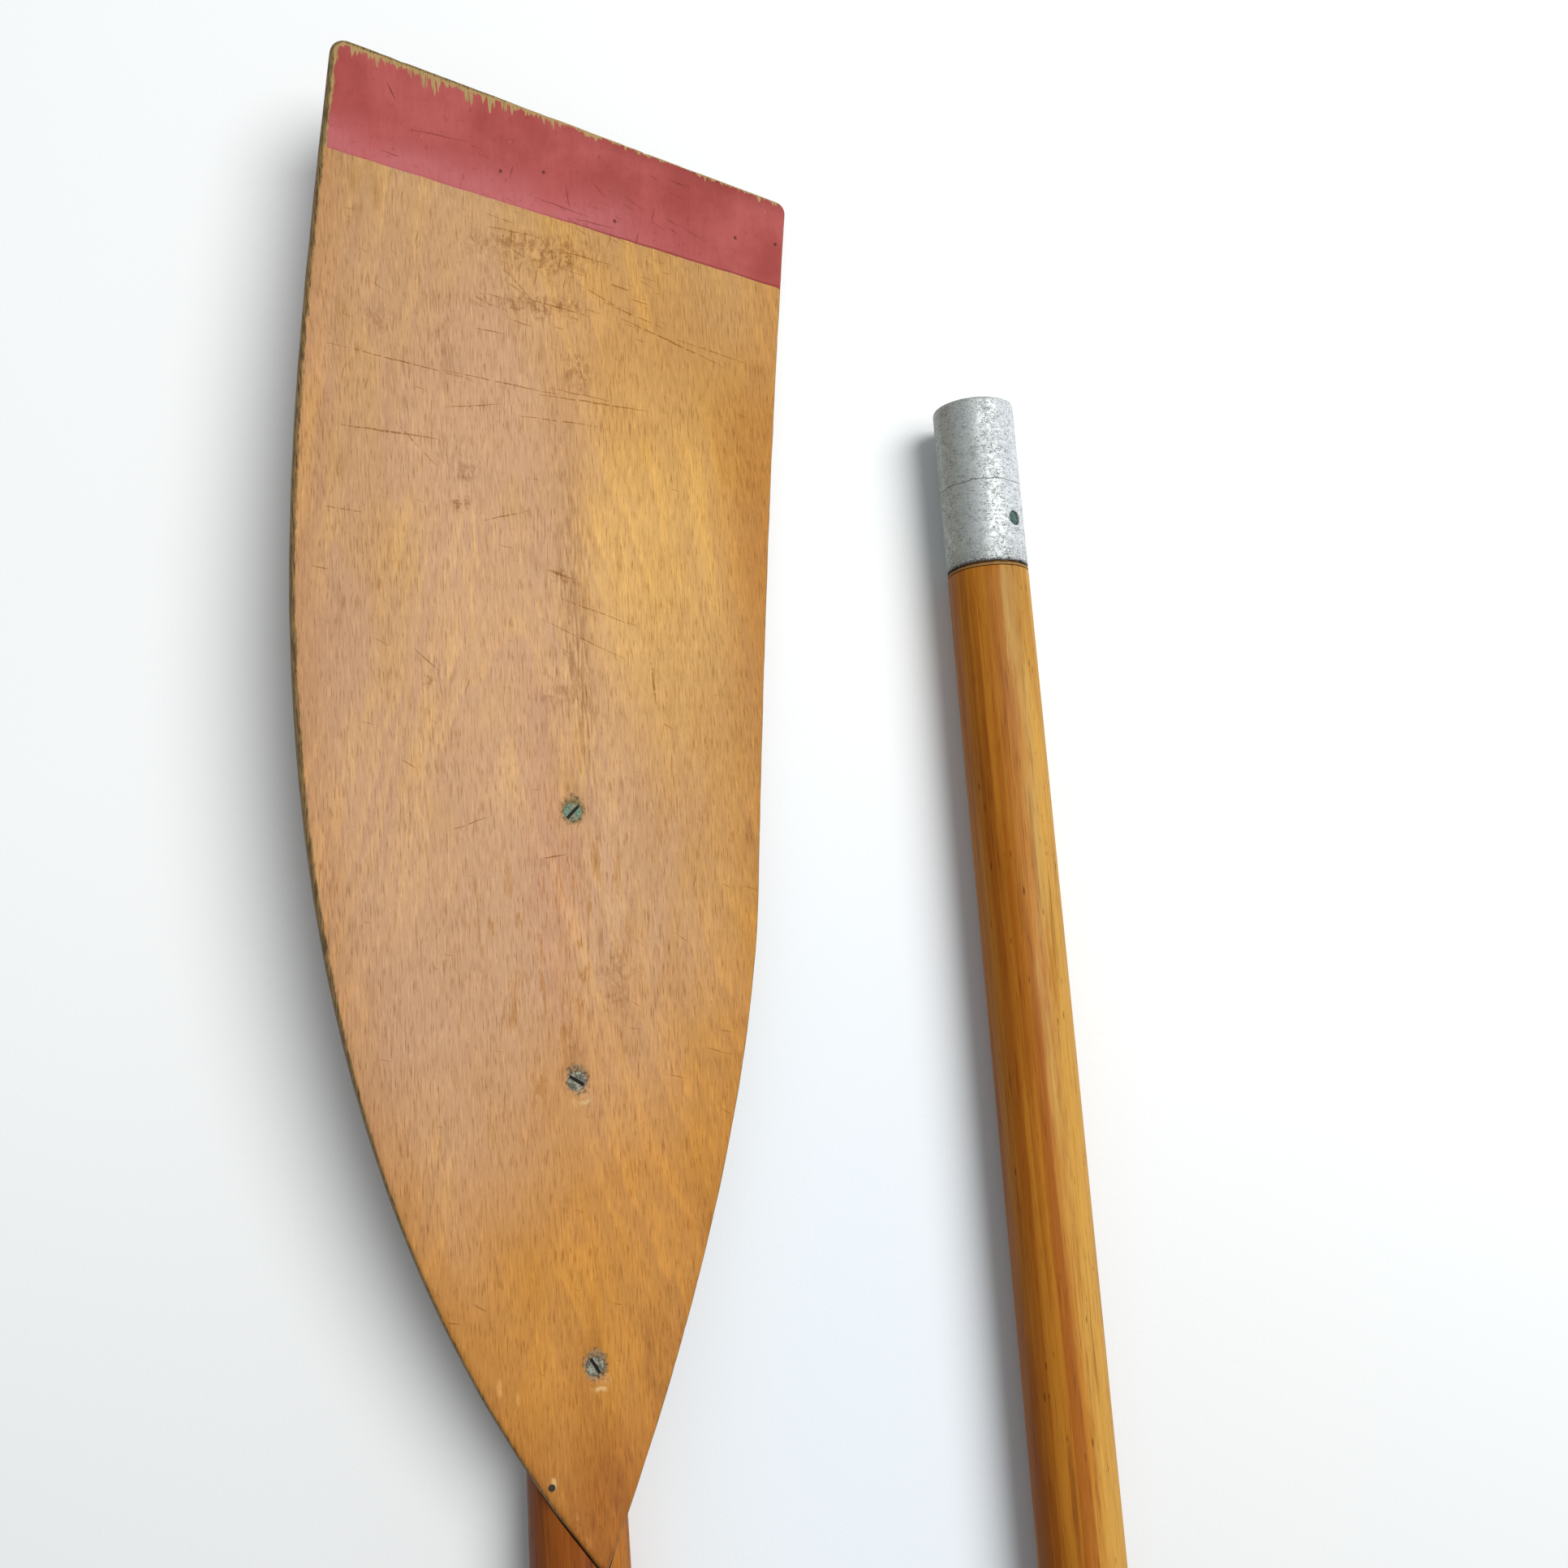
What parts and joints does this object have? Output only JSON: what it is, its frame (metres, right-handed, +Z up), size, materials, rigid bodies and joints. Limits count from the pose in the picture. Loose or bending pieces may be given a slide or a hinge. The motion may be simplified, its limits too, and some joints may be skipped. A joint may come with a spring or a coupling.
{
  "type": "take-apart rowing oar",
  "caption": "Take-apart wooden rowing oar: ply blade with a red tip on a round shaft, and a loose handle section with a metal ferrule.",
  "frame": {"origin": "on the ground at the middle of the footprint of the two sections laid side by side", "axes": "+Y along the blade shaft towards the blade's tip, +Z up, +X towards the loose handle section"},
  "size_m": [0.265, 1.3952, 0.0553],
  "materials": {
    "blade_ply": "worn varnish over rotary-cut beech ply, with worn red paint at the tip",
    "shaft_wood": "worn amber varnish",
    "loom_wood": "worn amber varnish",
    "ferrule_metal": "dull, scuffed round the tube",
    "pin_brass": "tarnished green-brown",
    "screw_brass": "tarnished",
    "shoulder_sealant": "dark, matt",
    "sleeve_rubber": "matt",
    "grip_rubber": "matt"
  },
  "bodies": {
    "blade_section": {"blade_face_ply": "blade_ply", "blade_upper_cross_ply": "blade_ply", "blade_core_ply": "blade_ply", "blade_lower_cross_ply": "blade_ply", "blade_back_ply": "blade_ply", "blade_shaft": "shaft_wood", "blade_screw_1": "screw_brass", "blade_screw_2": "screw_brass", "blade_screw_3": "screw_brass", "neck_brad_1": "screw_brass", "neck_brad_2": "screw_brass", "socket_tube": "ferrule_metal", "socket_pin": "pin_brass"},
    "rowlock_sleeve": {"rowlock_sleeve": "sleeve_rubber"},
    "shoulder_bead": {"shoulder_bead": "shoulder_sealant"},
    "handle_section": {"handle_loom": "loom_wood", "spigot_sleeve": "ferrule_metal", "spigot_pin": "pin_brass", "hand_grip": "grip_rubber"}
  },
  "joints": [
    {"name": "handle_offset", "type": "slide", "parent": "blade_section", "child": "rowlock_sleeve", "axis": [-0.1493, -0.9888, 0], "range_m": [0, 1.13269]},
    {"name": "ferrule_slide", "type": "slide", "parent": "rowlock_sleeve", "child": "shoulder_bead", "axis": [0, 1, 0], "range_m": [0, 0.3195]},
    {"name": "ferrule_twist", "type": "hinge", "parent": "shoulder_bead", "child": "handle_section", "pos_m": [0.11561, 0.48939, 0.017], "axis": [0, 1, 0], "continuous": true}
  ]
}
